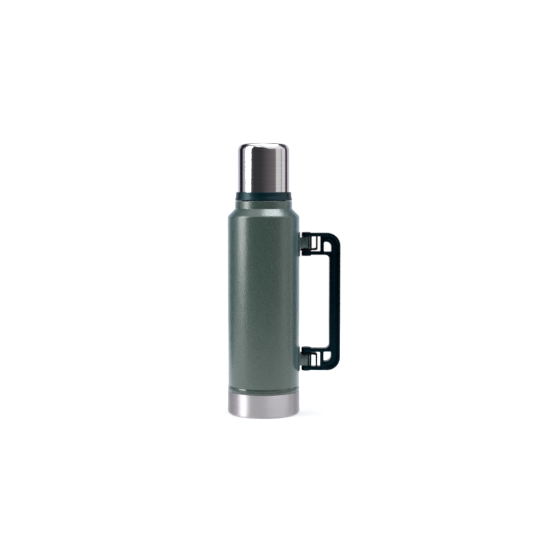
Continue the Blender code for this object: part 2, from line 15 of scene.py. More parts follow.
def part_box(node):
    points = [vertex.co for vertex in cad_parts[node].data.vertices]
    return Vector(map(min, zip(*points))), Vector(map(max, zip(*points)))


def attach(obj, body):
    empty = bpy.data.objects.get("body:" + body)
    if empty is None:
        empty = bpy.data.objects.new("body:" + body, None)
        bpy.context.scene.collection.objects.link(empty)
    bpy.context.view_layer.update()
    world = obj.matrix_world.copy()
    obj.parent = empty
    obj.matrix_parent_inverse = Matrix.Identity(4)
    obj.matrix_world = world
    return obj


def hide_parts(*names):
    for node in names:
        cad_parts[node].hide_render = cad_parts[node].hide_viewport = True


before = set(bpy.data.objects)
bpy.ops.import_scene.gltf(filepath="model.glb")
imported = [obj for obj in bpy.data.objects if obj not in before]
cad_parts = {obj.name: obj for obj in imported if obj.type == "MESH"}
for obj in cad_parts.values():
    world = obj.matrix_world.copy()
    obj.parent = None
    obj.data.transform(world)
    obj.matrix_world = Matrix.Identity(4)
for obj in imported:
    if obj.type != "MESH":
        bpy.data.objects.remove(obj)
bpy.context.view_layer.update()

# Facets and gaps
AROUND = 192  # facets round a large turned piece
PIN_AROUND = 48  # and round a hinge pin and its ears
FILLET = 5  # pieces of a rounded corner
EDGE_STEPS = 2  # steps of a plate's rounded edge
SMOOTH_ANGLE = 30  # degrees between faces, up to which they are shaded as one
GAP = 0.0003  # clearance that neighbouring pieces keep
MERGE = 0.000001  # distance under which points are one

# Sizes taken from the frame
SHELL_LOW, SHELL_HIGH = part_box("outer_shell")
_, BASE_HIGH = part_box("base_cup")
CUP_LOW, CUP_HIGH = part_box("cup_shell")
LINER_LOW, LINER_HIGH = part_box("cup_liner")
COLLAR_LOW, COLLAR_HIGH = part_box("cup_collar")
CUP_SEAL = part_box("cup_seal")
RING_LOW, RING_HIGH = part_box("neck_thread_ring")
PLUG_LOW, PLUG_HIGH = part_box("stopper_body")
CAP_LOW, CAP_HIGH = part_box("stopper_cap")
RIM_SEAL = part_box("rim_seal")
HANDLE_LOW, HANDLE_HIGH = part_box("handle_frame")
PIN_LOW, PIN_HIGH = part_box("upper_hinge_pin")

# Body
LEDGE_Z = SHELL_HIGH.z
BEAD_R = SHELL_HIGH.x
BEAD_RISE = 0.0006  # how far the rolled bead stands out from the body
BODY_R = BEAD_R - BEAD_RISE
NECK_R = 0.0388
NECK_TALL = 0.0104
NECK_FOOT_Z = LEDGE_Z - NECK_TALL
SHOULDER_R = 0.0050  # rounding where the 45 degree shoulder meets the body
BEAD_Z = 0.0374
FOOT_SHADE_GLOSS_Z = 0.0388  # below this the enamel is glossier, and its colour is darkened as painted shade
FOOT_SHADE_GLOSS_FADE = 0.0018  # height over which it does
SHELL_WALL = 0.0006  # of the shell and of the base cup

# Mouth and threads
MOUTH_TOP_Z = RING_HIGH.z
NECK_RING_R = 0.0300
BORE_R = 0.0250
THREAD_PITCH = 0.0040
THREAD_SINK = 0.0004  # how far a ridge's foot is sunk in its wall
THREAD_HALF = ((0.0, 0.0009), (0.55, 0.00062), (0.9, 0.00050), (1.0, 0.00030))  # reach, height
RUN_OUTS = 12  # a ridge runs out over one of this many parts of a turn
END_REACH = 0.05  # share of its reach that a ridge keeps at its ends
END_TALL = 0.4  # and of its height

# Cup
CUP_WALL = 0.0005
COLLAR_BORE_R = 0.0320

# Handle, with heights counted from its middle
HANDLE_MID_Z = (HANDLE_LOW.z + HANDLE_HIGH.z) / 2
PIN_X = (PIN_LOW.x + PIN_HIGH.x) / 2
PIN_R = PIN_HIGH.x - PIN_X
GRIP_OUT_X = HANDLE_HIGH.x
GRIP_WIDE = 0.0150
GRIP_IN_X = GRIP_OUT_X - GRIP_WIDE
GRIP_HALF_Y = HANDLE_HIGH.y
ARM_HALF_Y = 0.0070
EAR_HALF_Y = 0.0065
EAR_END_X = 0.0660  # from the pin to here the handle deepens from an ear's to an arm's depth
GRIP_START_X = (0.0740, 0.0880)  # and between these from an arm's to the grip's
CORNER_R = 0.0180
ARM_TOP = 0.0946  # outer edge of the outer bar
OUTER_BAR = 0.0894  # its underside
INNER_BAR = 0.0693  # top of the inner bar
ARM_FOOT = 0.0643  # and its underside
ARM_CORNER_R = 0.0060  # rounding between the inner bar and the grip
WINDOW_X = 0.0777  # far side of the window that the detent tongue stands in
RIM_X = 0.0042  # width of the rim outside the groove, in the grip
RIM_H = 0.0050  # and in the arms
GROOVE = 0.0030  # width of the groove
GROOVE_X = 0.0840  # where it starts
GROOVE_FLOOR_Y = 0.0050  # half the thickness that it leaves
LAP = 0.0012  # how far the layers of the handle reach into each other
HOOD_X = (PIN_X + 0.0048, 0.0658)  # bar that hoods the bracket's barrel
HOOD_FOOT = 0.0732
EAR_R = 0.0066
OUTER_EAR = (0.0887, 0.0956)
INNER_EAR = (0.0628, 0.0694)

# Hinges, with heights counted from the handle's middle
FOLD = 100  # degrees to either side
STRAP = (0.0734, 0.0884)  # the strap that is folded round the pin
BARREL_R = 0.0046
CAM = (0.06975, 0.07305)  # the detent cam
CAM_R = 0.0075
CAM_FLAT = 0.0069  # distance of a flat from the pin's axis
CAM_TAIL_HALF = 0.0025
PLATE = (0.0623, 0.0955)  # the strap's plate on the body
PLATE_IN_R = BODY_R + GAP
PLATE_THICK = 0.0010
PLATE_HALF_ANGLE = math.radians(16.5)
PLATE_CORNER_R = 0.0040
TONGUE_X = (0.0717, 0.0740)  # the detent tongue
TONGUE_HEAD = 0.0922
TONGUE_HALF_Y = 0.0040
TOE_X = 0.0680  # where its toe ends, at the cam
TOE = (0.0706, 0.0734)

# Studio cards: name, place across, and reach from front to back
CARDS = (
    ("left_flag", -0.48, 0.17, 0.48),
    ("right_flag", 0.48, 0.21, 0.40),
    ("right_stand", 0.48, -0.045, 0.0),
)
CARD_HALF = 0.002
CARD_TOP = 0.28
FLOOR_R = 1.10
FLOOR_THICK = 0.02


# ---------------------------------------------------------------- outlines


def filleted(corners, closed=True, pieces=FILLET):
    """The corners' outline, each corner (x, y, radius) rounded to its radius."""
    points = []
    count = len(corners)
    for i, (x, y, radius) in enumerate(corners):
        if not radius or (not closed and i in (0, count - 1)):
            points.append((x, y))
            continue
        corner = Vector((x, y))
        back = (Vector(corners[i - 1][:2]) - corner).normalized()
        ahead = (Vector(corners[(i + 1) % count][:2]) - corner).normalized()
        half = back.angle(ahead) / 2
        centre = corner + (back + ahead).normalized() * radius / math.sin(half)
        start = corner + back * radius / math.tan(half) - centre
        end = corner + ahead * radius / math.tan(half) - centre
        turn = math.atan2(start.x * end.y - start.y * end.x, start.dot(end))
        for k in range(pieces + 1):
            spoke = Matrix.Rotation(turn * k / pieces, 2) @ start
            points.append(tuple(centre + spoke))
    return points


def arc(x, y, radius, start, end, pieces):
    """Points on an arc from start to end degrees, both ends included."""
    angles = [math.radians(start + (end - start) * i / pieces) for i in range(pieces + 1)]
    return [(x + radius * math.cos(a), y + radius * math.sin(a)) for a in angles]


def mirrored(points):
    """The same outline below the handle's middle, still in the same sense."""
    return [(x, -h) for x, h in reversed(points)]


def eased(share):
    """The share held between 0 and 1, with a soft start and a soft end."""
    share = min(1.0, max(0.0, share))
    return share * share * (3 - 2 * share)


def walled(corners, wall):
    """Closed outline of a sheet, wall thick, whose outer side runs down along the corners."""
    inner = []
    count = len(corners)
    for i, (x, y, radius) in enumerate(corners):
        here = Vector((x, y))
        before = (Vector(corners[max(i, 1)][:2]) - Vector(corners[max(i, 1) - 1][:2])).normalized()
        ahead = min(i + 1, count - 1)
        after = (Vector(corners[ahead][:2]) - Vector(corners[ahead - 1][:2])).normalized()
        side = Vector((before.y + after.y, -before.x - after.x)).normalized()
        reach = wall / side.dot(Vector((before.y, -before.x)))
        right_turn = before.x * after.y - before.y * after.x < 0
        round_in = max(radius - wall if right_turn else radius + wall, wall / 4) if radius else 0
        x_in, y_in = here + side * reach
        inner.append((max(x_in, 0.0) if x else 0.0, y_in, round_in))
    return filleted(corners, False) + filleted(inner, False)[::-1]


# ---------------------------------------------------------------- meshes


def new_piece(name, mesh, material):
    """An object of the mesh, welded, smoothly shaded and with the material."""
    shape = bmesh.new()
    shape.from_mesh(mesh)
    bmesh.ops.remove_doubles(shape, verts=shape.verts, dist=MERGE)
    bmesh.ops.recalc_face_normals(shape, faces=shape.faces)
    shape.to_mesh(mesh)
    shape.free()
    mesh.shade_smooth()
    mesh.set_sharp_from_angle(angle=math.radians(SMOOTH_ANGLE))
    mesh.materials.clear()
    mesh.materials.append(material)
    piece = bpy.data.objects.new(name, mesh)
    bpy.context.scene.collection.objects.link(piece)
    return piece


def lathe_mesh(name, outline, around=AROUND, shape=None):
    """A turned solid of a closed (radius, height) outline.

    shape(angle, radius, height) gives the radius there, where it isn't the same all round.
    """
    verts, rings = [], []
    for r, z in outline:
        if r < MERGE:
            rings.append([len(verts)])
            verts.append((0.0, 0.0, z))
            continue
        rings.append(list(range(len(verts), len(verts) + around)))
        for i in range(around):
            a = 2 * math.pi * i / around
            here = shape(a, r, z) if shape else r
            verts.append((here * math.cos(a), here * math.sin(a), z))
    faces = []
    for one, two in zip(rings, rings[1:] + rings[:1]):
        if len(one) == len(two) == 1:
            continue  # this side of the outline lies along the axis
        for i in range(around):
            j = (i + 1) % around
            face = [one[i % len(one)], one[j % len(one)], two[j % len(two)], two[i % len(two)]]
            faces.append(list(dict.fromkeys(face)))
    mesh = bpy.data.meshes.new(name)
    mesh.from_pydata(verts, [], faces)
    return mesh


def thread_mesh(name, root_r, crest_r, start_z, turns, phase):
    """A right-handed thread ridge with a rounded crest that runs out gently at both ends."""
    foot_r = root_r + math.copysign(THREAD_SINK, root_r - crest_r)
    section = list(THREAD_HALF) + [(share, -half) for share, half in reversed(THREAD_HALF)]
    count = round(AROUND * turns)
    verts = []
    for k in range(count + 1):
        a = phase + 2 * math.pi * turns * k / count
        rise = start_z + THREAD_PITCH * turns * k / count
        fade = END_REACH + (1 - END_REACH) * eased(RUN_OUTS * min(k, count - k) / AROUND)
        tall = END_TALL + (1 - END_TALL) * fade
        for share, up in section:
            reach = foot_r + (crest_r - foot_r) * share * fade
            verts.append((reach * math.cos(a), reach * math.sin(a), rise + up * tall))
    n = len(section)
    faces = [list(range(n)), list(range(count * n, count * n + n))[::-1]]
    for k in range(count):
        for i in range(n):
            j = (i + 1) % n
            faces.append([k * n + i, k * n + j, k * n + n + j, k * n + n + i])
    mesh = bpy.data.meshes.new(name)
    mesh.from_pydata(verts, [], faces)
    return mesh


def flat_mesh(name, outlines, half, edge):
    """A solid of (x, y) outlines, centred on z = 0 and 2 * half thick, its edges rounded to edge.

    Outlines after the first are holes.
    """
    curve = bpy.data.curves.new(name, "CURVE")
    curve.dimensions = "2D"
    curve.fill_mode = "BOTH"
    curve.extrude = half - edge
    curve.bevel_depth = edge
    curve.bevel_resolution = EDGE_STEPS
    curve.offset = -edge
    for points in outlines:
        area = sum(a[0] * b[1] - b[0] * a[1] for a, b in zip(points, points[1:] + points[:1]))
        wanted = 1 if points is outlines[0] else -1
        ordered = points if area * wanted > 0 else points[::-1]
        spline = curve.splines.new("POLY")
        spline.points.add(len(ordered) - 1)
        spline.use_cyclic_u = True
        for knot, (x, y) in zip(spline.points, ordered):
            knot.co = (x, y, 0.0, 1.0)
    holder = bpy.data.objects.new(name, curve)
    bpy.context.scene.collection.objects.link(holder)
    bpy.context.view_layer.update()
    seen = holder.evaluated_get(bpy.context.evaluated_depsgraph_get())
    mesh = bpy.data.meshes.new_from_object(seen)
    bpy.data.objects.remove(holder)
    return mesh


def upright_mesh(name, outlines, half, edge):
    """The same of (x, z) outlines, centred on y = 0."""
    mesh = flat_mesh(name, outlines, half, edge)
    mesh.transform(Matrix.Rotation(math.pi / 2, 4, "X"))
    return mesh


def level_mesh(name, outlines, ends, edge):
    """The same of (x, y) outlines, between two heights."""
    low, high = ends
    return moved(flat_mesh(name, outlines, (high - low) / 2, edge), z=(low + high) / 2)


def joined_mesh(name, meshes):
    """One mesh of several closed ones, which may overlap."""
    shape = bmesh.new()
    for mesh in meshes:
        shape.from_mesh(mesh)
    mesh = bpy.data.meshes.new(name)
    shape.to_mesh(mesh)
    shape.free()
    return mesh


def moved(mesh, x=0.0, z=0.0):
    """The mesh, pushed along."""
    mesh.transform(Matrix.Translation((x, 0.0, z)))
    return mesh


def settle(piece, body, slot, *nodes):
    """The piece rides on its body and stands for its nodes; the slot is not used."""
    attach(piece, body)
    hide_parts(*nodes)


# ---------------------------------------------------------------- materials


class Nodes:
    """Adds nodes to a tree, and links whatever input is given as another node's output."""

    def __init__(self, tree):
        self.tree = tree

    def add(self, kind, inputs=None, **settings):
        made = self.tree.nodes.new(kind)
        for key, value in settings.items():
            setattr(made, key, value)
        for key, value in (inputs or {}).items():
            if isinstance(value, bpy.types.NodeSocket):
                self.tree.links.new(value, made.inputs[key])
            else:
                made.inputs[key].default_value = value
        return made

    def position(self, scale=(1, 1, 1)):
        place = self.add("ShaderNodeTexCoord").outputs["Object"]
        return self.add("ShaderNodeMapping", {"Vector": place, "Scale": scale}).outputs["Vector"]

    def noise(self, where, scale, detail=2.0, roughness=0.5, distortion=0.0):
        values = {"Vector": where, "Scale": scale, "Detail": detail}
        values |= {"Roughness": roughness, "Distortion": distortion}
        return self.add("ShaderNodeTexNoise", values).outputs["Fac"]

    def ramp(self, fac, *stops):
        """Colour ramp through (position, value or colour) stops."""
        made = self.add("ShaderNodeValToRGB", {"Fac": fac})
        ends = made.color_ramp.elements
        while len(ends) < len(stops):
            ends.new(0.5)
        for end, (place, value) in zip(ends, stops):
            end.position = place
            end.color = (*value, 1.0) if isinstance(value, tuple) else (*(value,) * 3, 1.0)
        return made.outputs["Color"]

    def mix(self, fac, one, two):
        """Colour between two, each a colour or another node's output."""
        made = self.add("ShaderNodeMix", data_type="RGBA")
        for socket, value in ((made.inputs[0], fac), (made.inputs[6], one), (made.inputs[7], two)):
            if isinstance(value, bpy.types.NodeSocket):
                self.tree.links.new(value, socket)
            elif isinstance(value, tuple):
                socket.default_value = (*value, 1.0)
            else:
                socket.default_value = value
        return made.outputs[2]

    def math(self, operation, one, two, three=0.0):
        values = {0: one, 1: two, 2: three}
        return self.add("ShaderNodeMath", values, operation=operation).outputs[0]

    def vector(self, operation, one, two):
        """Vector maths on two vectors, or on a vector and a number that scales it."""
        values = {0: one, 3 if operation == "SCALE" else 1: two}
        return self.add("ShaderNodeVectorMath", values, operation=operation).outputs[0]

    def bump(self, height, strength, distance, under=None):
        values = {"Height": height, "Strength": strength, "Distance": distance}
        if under:
            values["Normal"] = under
        return self.add("ShaderNodeBump", values).outputs["Normal"]


def new_material(name, **values):
    """A material with a Principled BSDF whose plain inputs are set, and its node helper."""
    made = bpy.data.materials.new(name)
    made.use_nodes = True
    shader = made.node_tree.nodes["Principled BSDF"]
    for key, value in values.items():
        shader.inputs[key.replace("_", " ")].default_value = value
    return made, Nodes(made.node_tree), shader


def wire(nodes, shader, **sockets):
    """Links node outputs to the shader's inputs of these names."""
    for key, socket in sockets.items():
        nodes.tree.links.new(socket, shader.inputs[key.replace("_", " ")])


def hammertone(name, low, high, spark, sheen):
    """Enamel that dries into soft pebbles, with painted shade in their seams and painted light on
    their crowns.

    It has metal flake of the spark colour, and a cold sheen that shows where it turns away.
    """
    values = {"Metallic": 0.10, "Specular_IOR_Level": 0.90}
    values |= {"Coat_Weight": 0.35, "Coat_Roughness": 0.14}
    values |= {"Sheen_Weight": sheen, "Sheen_Roughness": 0.40}
    made, n, shader = new_material(name, **values, Sheen_Tint=(0.45, 0.74, 1.0, 1.0))
    where = n.position()
    warp = n.add("ShaderNodeTexNoise", {"Vector": where, "Scale": 420.0, "Detail": 1.0})
    shift = n.vector("SUBTRACT", warp.outputs["Color"], (0.5, 0.5, 0.5))
    bent = n.vector("ADD", where, n.vector("SCALE", shift, 0.0016))
    cells = {"Vector": bent, "Scale": 620.0, "Smoothness": 0.8}
    pebble = n.add("ShaderNodeTexVoronoi", cells, feature="SMOOTH_F1").outputs["Distance"]
    flake = n.add("ShaderNodeTexVoronoi", {"Vector": where, "Scale": 2600.0}).outputs["Color"]
    flake = n.add("ShaderNodeSeparateColor", {"Color": flake}).outputs[0]
    cloud = n.noise(where, 60.0, 3.0)
    fine = n.noise(where, 1900.0, 2.0)
    # Painted shade in the pebbles' seams and painted light on their crowns: the colour runs from
    # low to high with the same pebbles as the bump
    tone = n.math("MULTIPLY_ADD", pebble, -0.9, 0.95)
    shade = n.mix(n.ramp(tone, (0.25, 0.0), (0.85, 1.0)), low, high)
    shade = n.mix(n.math("MULTIPLY", n.ramp(flake, (0.82, 0.0), (1.0, 1.0)), 0.45), shade, spark)
    shade = n.mix(n.ramp(cloud, (0.35, 0.10), (0.70, 0.0)), shade, low)
    uneven = n.math("ADD", pebble, n.math("MULTIPLY", fine, 0.4))
    rough = n.ramp(uneven, (0.2, 0.21), (0.9, 0.35))
    foot = n.add("ShaderNodeSeparateXYZ", {"Vector": where}).outputs["Z"]
    reach = {"From Min": FOOT_SHADE_GLOSS_Z + FOOT_SHADE_GLOSS_FADE, "From Max": FOOT_SHADE_GLOSS_Z}
    foot = n.add("ShaderNodeMapRange", {"Value": foot, **reach}).outputs["Result"]
    # Painted shade: below the bead the colour is darkened towards a quarter of the low colour; the
    # lower roughness is the glossier enamel
    shade = n.mix(n.math("MULTIPLY", foot, 0.30), shade, tuple(c * 0.25 for c in low))
    rough = n.mix(foot, rough, (0.12, 0.12, 0.12))
    relief = n.math("SUBTRACT", 0.32, n.math("MULTIPLY", foot, 0.22))
    face = n.bump(pebble, relief, -0.0004)
    face = n.bump(fine, 0.06, 0.0001, face)
    wire(n, shader, Base_Color=shade, Roughness=rough, Normal=face, Coat_Normal=face)
    return made


def brushed(name, colour, roughness, anisotropy, streak=5200.0):
    """Steel brushed round the Z axis: fine rings that fade in and out, with an upright shine."""
    values = {"Anisotropic": anisotropy, "Anisotropic_Rotation": 0.25}
    made, n, shader = new_material(name, Metallic=1.0, **values)
    fine = n.noise(n.position((22, 22, streak)), 1.0, 3.0, 0.6)
    broad = n.noise(n.position((14, 14, 900)), 1.0, 2.0)
    cloud = n.noise(n.position(), 45.0, 3.0)
    light = tuple(min(1.0, c * 1.10) for c in colour)
    dark = tuple(c * 0.82 for c in colour)
    grain = n.math("ADD", n.math("MULTIPLY", fine, 0.7), n.math("MULTIPLY", broad, 0.3))
    shade = n.mix(n.ramp(grain, (0.30, 0.0), (0.70, 1.0)), dark, light)
    rough = n.ramp(grain, (0.25, roughness * 0.8), (0.75, roughness * 1.25))
    rough = n.mix(n.ramp(cloud, (0.4, 0.0), (0.8, 0.25)), rough, (roughness * 1.5,) * 3)
    around = n.add("ShaderNodeTangent", direction_type="RADIAL", axis="Z").outputs["Tangent"]
    face = n.bump(grain, 0.12, 0.00004)
    wire(n, shader, Base_Color=shade, Roughness=rough, Normal=face, Tangent=around)
    return made


def moulded(name, colour, roughness, grain, shine, edge_lift, tint):
    """Moulded plastic: a fine eroded grain, faint flow clouds, and lighter colour in patches on its
    sharpest edges.
    """
    made, n, shader = new_material(name, Specular_IOR_Level=shine, Specular_Tint=(*tint, 1.0))
    where = n.position()
    cloud = n.noise(where, 90.0, 3.0)
    pits = n.noise(where, 2400.0, 2.0, 0.6)
    edge_patch_noise = n.noise(where, 700.0, 4.0, 0.7)
    # Lighter colour on the sharpest edges, in patches of noise
    edge = n.add("ShaderNodeNewGeometry").outputs["Pointiness"]
    edge = n.ramp(edge, (0.52, 0.0), (0.60, 1.0))
    edge = n.math("MULTIPLY", edge, n.ramp(edge_patch_noise, (0.45, 0.0), (0.75, 1.0)))
    light = tuple(min(1.0, c * 1.6 + edge_lift) for c in colour)
    deep = tuple(c * 0.75 for c in colour)
    shade = n.mix(n.ramp(cloud, (0.3, 0.0), (0.7, 1.0)), deep, colour)
    shade = n.mix(n.math("MULTIPLY", edge, 0.5), shade, light)
    uneven = n.math("ADD", n.math("MULTIPLY", cloud, 0.5), n.math("MULTIPLY", pits, 0.5))
    rough = n.ramp(uneven, (0.3, roughness * 0.8), (0.7, roughness * 1.25))
    wire(n, shader, Base_Color=shade, Roughness=rough, Normal=n.bump(pits, grain, 0.00008))
    return made


def satin_steel(name, colour, roughness):
    """Drawn or deburred steel with faint tumbling marks and a little tarnish."""
    made, n, shader = new_material(name, Metallic=1.0)
    where = n.position()
    marks = n.noise(where, 1500.0, 4.0, 0.7, 0.6)
    cloud = n.noise(where, 70.0, 4.0)
    dark = tuple(c * 0.78 for c in colour)
    shade = n.mix(n.ramp(cloud, (0.35, 0.0), (0.7, 1.0)), dark, colour)
    rough = n.ramp(marks, (0.3, roughness * 0.75), (0.7, roughness * 1.3))
    wire(n, shader, Base_Color=shade, Roughness=rough, Normal=n.bump(marks, 0.08, 0.00005))
    return made


def soft_seal(name, colour):
    """Silicone rubber: matt, slightly see-through, with a dusty bloom."""
    made, n, shader = new_material(name, Subsurface_Weight=0.15, Subsurface_Scale=0.001)
    where = n.position()
    bloom = n.noise(where, 350.0, 4.0, 0.7)
    pits = n.noise(where, 3000.0, 2.0)
    light = tuple(min(1.0, c * 1.25) for c in colour)
    shade = n.mix(n.ramp(bloom, (0.4, 0.0), (0.75, 1.0)), colour, light)
    rough = n.ramp(bloom, (0.3, 0.48), (0.8, 0.72))
    wire(n, shader, Base_Color=shade, Roughness=rough, Normal=n.bump(pits, 0.08, 0.00005))
    return made


def foamed(name, colour):
    """Closed-cell foam, with its cut cells, darkened in their hollows with painted shade."""
    made, n, shader = new_material(name)
    where = n.position()
    cells = n.add("ShaderNodeTexVoronoi", {"Vector": where, "Scale": 900.0}).outputs["Distance"]
    dark = tuple(c * 0.7 for c in colour)
    # Painted shade: darker towards the middle of each cut cell, where the bump sinks it
    shade = n.mix(n.ramp(cells, (0.1, 0.0), (0.6, 1.0)), dark, colour)
    rough = n.ramp(cells, (0.1, 0.95), (0.7, 0.8))
    wire(n, shader, Base_Color=shade, Roughness=rough, Normal=n.bump(cells, 0.5, 0.0004))
    return made


def crumpled_foil(name, colour):
    """Thin foil with its creases."""
    made, n, shader = new_material(name, Metallic=1.0)
    where = n.position()
    folds = {"Vector": where, "Scale": 90.0}
    creases = n.add("ShaderNodeTexVoronoi", folds, feature="F2").outputs["Distance"]
    fine = n.noise(where, 400.0, 3.0)
    shade = n.mix(n.ramp(fine, (0.3, 0.0), (0.7, 1.0)), tuple(c * 0.85 for c in colour), colour)
    rough = n.ramp(fine, (0.3, 0.18), (0.8, 0.34))
    wire(n, shader, Base_Color=shade, Roughness=rough, Normal=n.bump(creases, 0.4, 0.0006))
    return made


# ---------------------------------------------------------------- body


def make_shell(paint):
    """Painted shell: rounded neck lip, neck, 45 degree shoulder, tube, rolled bead, foot lip."""
    shoulder_z = NECK_FOOT_Z - (BODY_R - NECK_R)
    lip_z = BASE_HIGH.z + 0.0004
    roll_r, crease_r = BODY_R + 0.0005, BODY_R - 0.0003
    corners = [(NECK_RING_R + 0.0004, LEDGE_Z, 0), (NECK_R, LEDGE_Z, 0.0009)]
    corners += [(NECK_R, NECK_FOOT_Z, 0.0012), (BODY_R, shoulder_z, SHOULDER_R)]
    corners += [(BODY_R, BEAD_Z + 0.0017, 0.0030), (roll_r, BEAD_Z - 0.0002, 0.0003)]
    corners += [(crease_r, BEAD_Z - 0.0009, 0.0003), (crease_r, BEAD_Z - 0.0018, 0.0002)]
    corners += [(roll_r, BEAD_Z - 0.0021, 0.0002), (BEAD_R, lip_z + 0.0008, 0.0010)]
    corners += [(BEAD_R, lip_z, 0.0003), (BODY_R - 0.0010, lip_z, 0.0002)]
    corners += [(BODY_R - 0.0012, SHELL_LOW.z, 0)]
    mesh = lathe_mesh("body_shell", walled(corners, SHELL_WALL))
    settle(new_piece("body_shell", mesh, paint), "bottle", "hammertone_paint", "outer_shell")


def make_base(steel):
    """Bare steel base cup with a rolled edge at the top and one pressed ring underneath."""
    r, top = BASE_HIGH.x, BASE_HIGH.z
    ring_out, ring_in, deep = 0.0340, 0.0310, 0.0006
    corners = [(r - 0.0003, top, 0), (r - 0.0001, top - 0.0006, 0.0005), (r, top - 0.0030, 0.0040)]
    corners += [(r, 0.0, 0.0042), (ring_out, 0.0, deep), (ring_out - deep, deep, deep)]
    corners += [(ring_in + deep, deep, deep), (ring_in, 0.0, deep), (0.0, 0.0, 0)]
    mesh = lathe_mesh("base_band", walled(corners, SHELL_WALL))
    settle(new_piece("base_band", mesh, steel), "bottle", "brushed_steel", "base_cup")


def make_neck(steel):
    """Threaded neck finish round the mouth, with a rolled rim."""
    wall, rim = 0.0012, 0.0015
    low, top, inner_r = RING_LOW.z, MOUTH_TOP_Z, NECK_RING_R - wall
    corners = [(BORE_R, top, 0.0005), (NECK_RING_R, top, 0.0014), (NECK_RING_R, low, 0.0002)]
    corners += [(inner_r, low, 0.0002), (inner_r, top - rim, 0.0004), (BORE_R, top - rim, 0.0003)]
    ring = lathe_mesh("neck", filleted(corners))
    place = {"start_z": 0.2950, "turns": 1.5, "phase": 0.0}
    ridge = thread_mesh("neck_ridge", NECK_RING_R, RING_HIGH.x, **place)
    mesh = joined_mesh("threaded_neck", [ring, ridge])
    settle(new_piece("threaded_neck", mesh, steel), "bottle", "plain_steel", "neck_thread_ring")


# ---------------------------------------------------------------- stopper


def make_plug(plastic):
    """Threaded plug with two pour flutes, a flange over the rim and a spigot in its foot."""
    flange_r, flange_top = PLUG_HIGH.x, PLUG_HIGH.z
    plug_r, foot = 0.0234, PLUG_LOW.z
    skirt_r, skirt_z = 0.0245, 0.3100
    seat_z, channel_z, channel_in, channel_out = 0.3189, 0.3199, 0.0253, 0.0281
    well_r, spigot_r, floor_z = 0.0205, 0.0083, 0.2895
    corners = [(well_r, flange_top, 0), (flange_r, flange_top, 0.0003), (flange_r, seat_z, 0.0005)]
    corners += [(channel_out, seat_z, 0.0001), (channel_out, channel_z, 0.0001)]
    corners += [(channel_in, channel_z, 0.0001), (channel_in, seat_z, 0.0001)]
    corners += [(skirt_r, seat_z - 0.0005, 0.0003), (skirt_r, skirt_z, 0.0004)]
    corners += [(plug_r, skirt_z - 0.0010, 0.0004), (plug_r, foot, 0.0006)]
    corners += [(spigot_r, foot, 0.0002), (spigot_r, floor_z, 0.0002), (well_r, floor_z, 0.0005)]
    side_low, side_high, side_top = 0.0228, 0.0252, 0.3186  # the surface that the flutes cut
    flute_r, flute_at, flute_half, flute_edge = 0.0225, 0.8, 0.27, 0.03

    def poured(angle, r, z):
        """Two flutes down the plug's side, for the drink to run through once it is raised."""
        if r < side_low or r > side_high or z > side_top or z < foot:
            return r
        off = abs((angle - flute_at + math.pi / 2) % math.pi - math.pi / 2)
        return r - (r - flute_r) * eased((flute_half - off) / flute_edge)

    plug = lathe_mesh("plug", filleted(corners, pieces=4), shape=poured)
    place = {"start_z": 0.2930, "turns": 2.5, "phase": math.pi}
    ridge = thread_mesh("plug_ridge", plug_r, 0.0246, **place)
    mesh = joined_mesh("stopper_plug", [plug, ridge])
    settle(new_piece("stopper_plug", mesh, plastic), "stopper", "stopper_plastic", "stopper_body")


def make_grip(plastic):
    """The stopper's hollow grip cap, with finger flutes round its side."""
    top, foot, wide = CAP_HIGH.z, CAP_LOW.z, PLUG_HIGH.x
    corners = [(0.0, top, 0), (0.0150, top, 0.0040), (0.0165, top - 0.0006, 0.0040)]
    corners += [(0.0245, top - 0.0006, 0.0012), (0.0278, top - 0.0028, 0.0022)]
    corners += [(0.0284, foot + 0.0040, 0.0010), (wide, foot + 0.0022, 0.0006)]
    corners += [(wide, foot, 0.0003), (0.0262, foot, 0.0003), (0.0250, top - 0.0046, 0.0015)]
    corners += [(0.0, top - 0.0034, 0)]
    flutes, flute_deep, land = 12, 0.0009, 0.25
    side_r, low_z, high_z = 0.0264, foot + 0.0040, top + 0.0010
    rise, fall = 0.0020, 0.0010  # heights over which the flutes start and end

    def gripped(angle, r, z):
        """Twelve soft finger flutes between the cap's top edge and its foot."""
        if r < side_r or z < low_z:
            return r
        up = min(1.0, (z - low_z) / rise) * min(1.0, max(0.0, (high_z - z) / fall))
        wave = max(0.0, math.cos(flutes * angle) - land) / (1 - land)
        return r - flute_deep * up * wave

    points = filleted(corners)
    outline = []
    for one, two in zip(points, points[1:]):
        long_side = two[0] > 0.0270 and abs(two[1] - one[1]) > 0.0020
        pieces = 8 if long_side else 1
        for k in range(pieces):
            share = k / pieces
            outline.append((one[0] + (two[0] - one[0]) * share, one[1] + (two[1] - one[1]) * share))
    outline.append(points[-1])
    mesh = lathe_mesh("stopper_grip", outline, 2 * AROUND, gripped)
    settle(new_piece("stopper_grip", mesh, plastic), "stopper", "stopper_plastic", "stopper_cap")


def make_gasket(name, inside, outside, corner, box, rubber, body, node):
    """A flat silicone ring, rounder at its foot than at its top, as high as its CAD solid."""
    low, high = (end.z for end in box)
    corners = [(inside, high, 0.0002), (outside, high, 0.0002)]
    corners += [(outside, low, corner), (inside, low, corner)]
    mesh = lathe_mesh(name, filleted(corners))
    settle(new_piece(name, mesh, rubber), body, "silicone", node)


# ---------------------------------------------------------------- cup


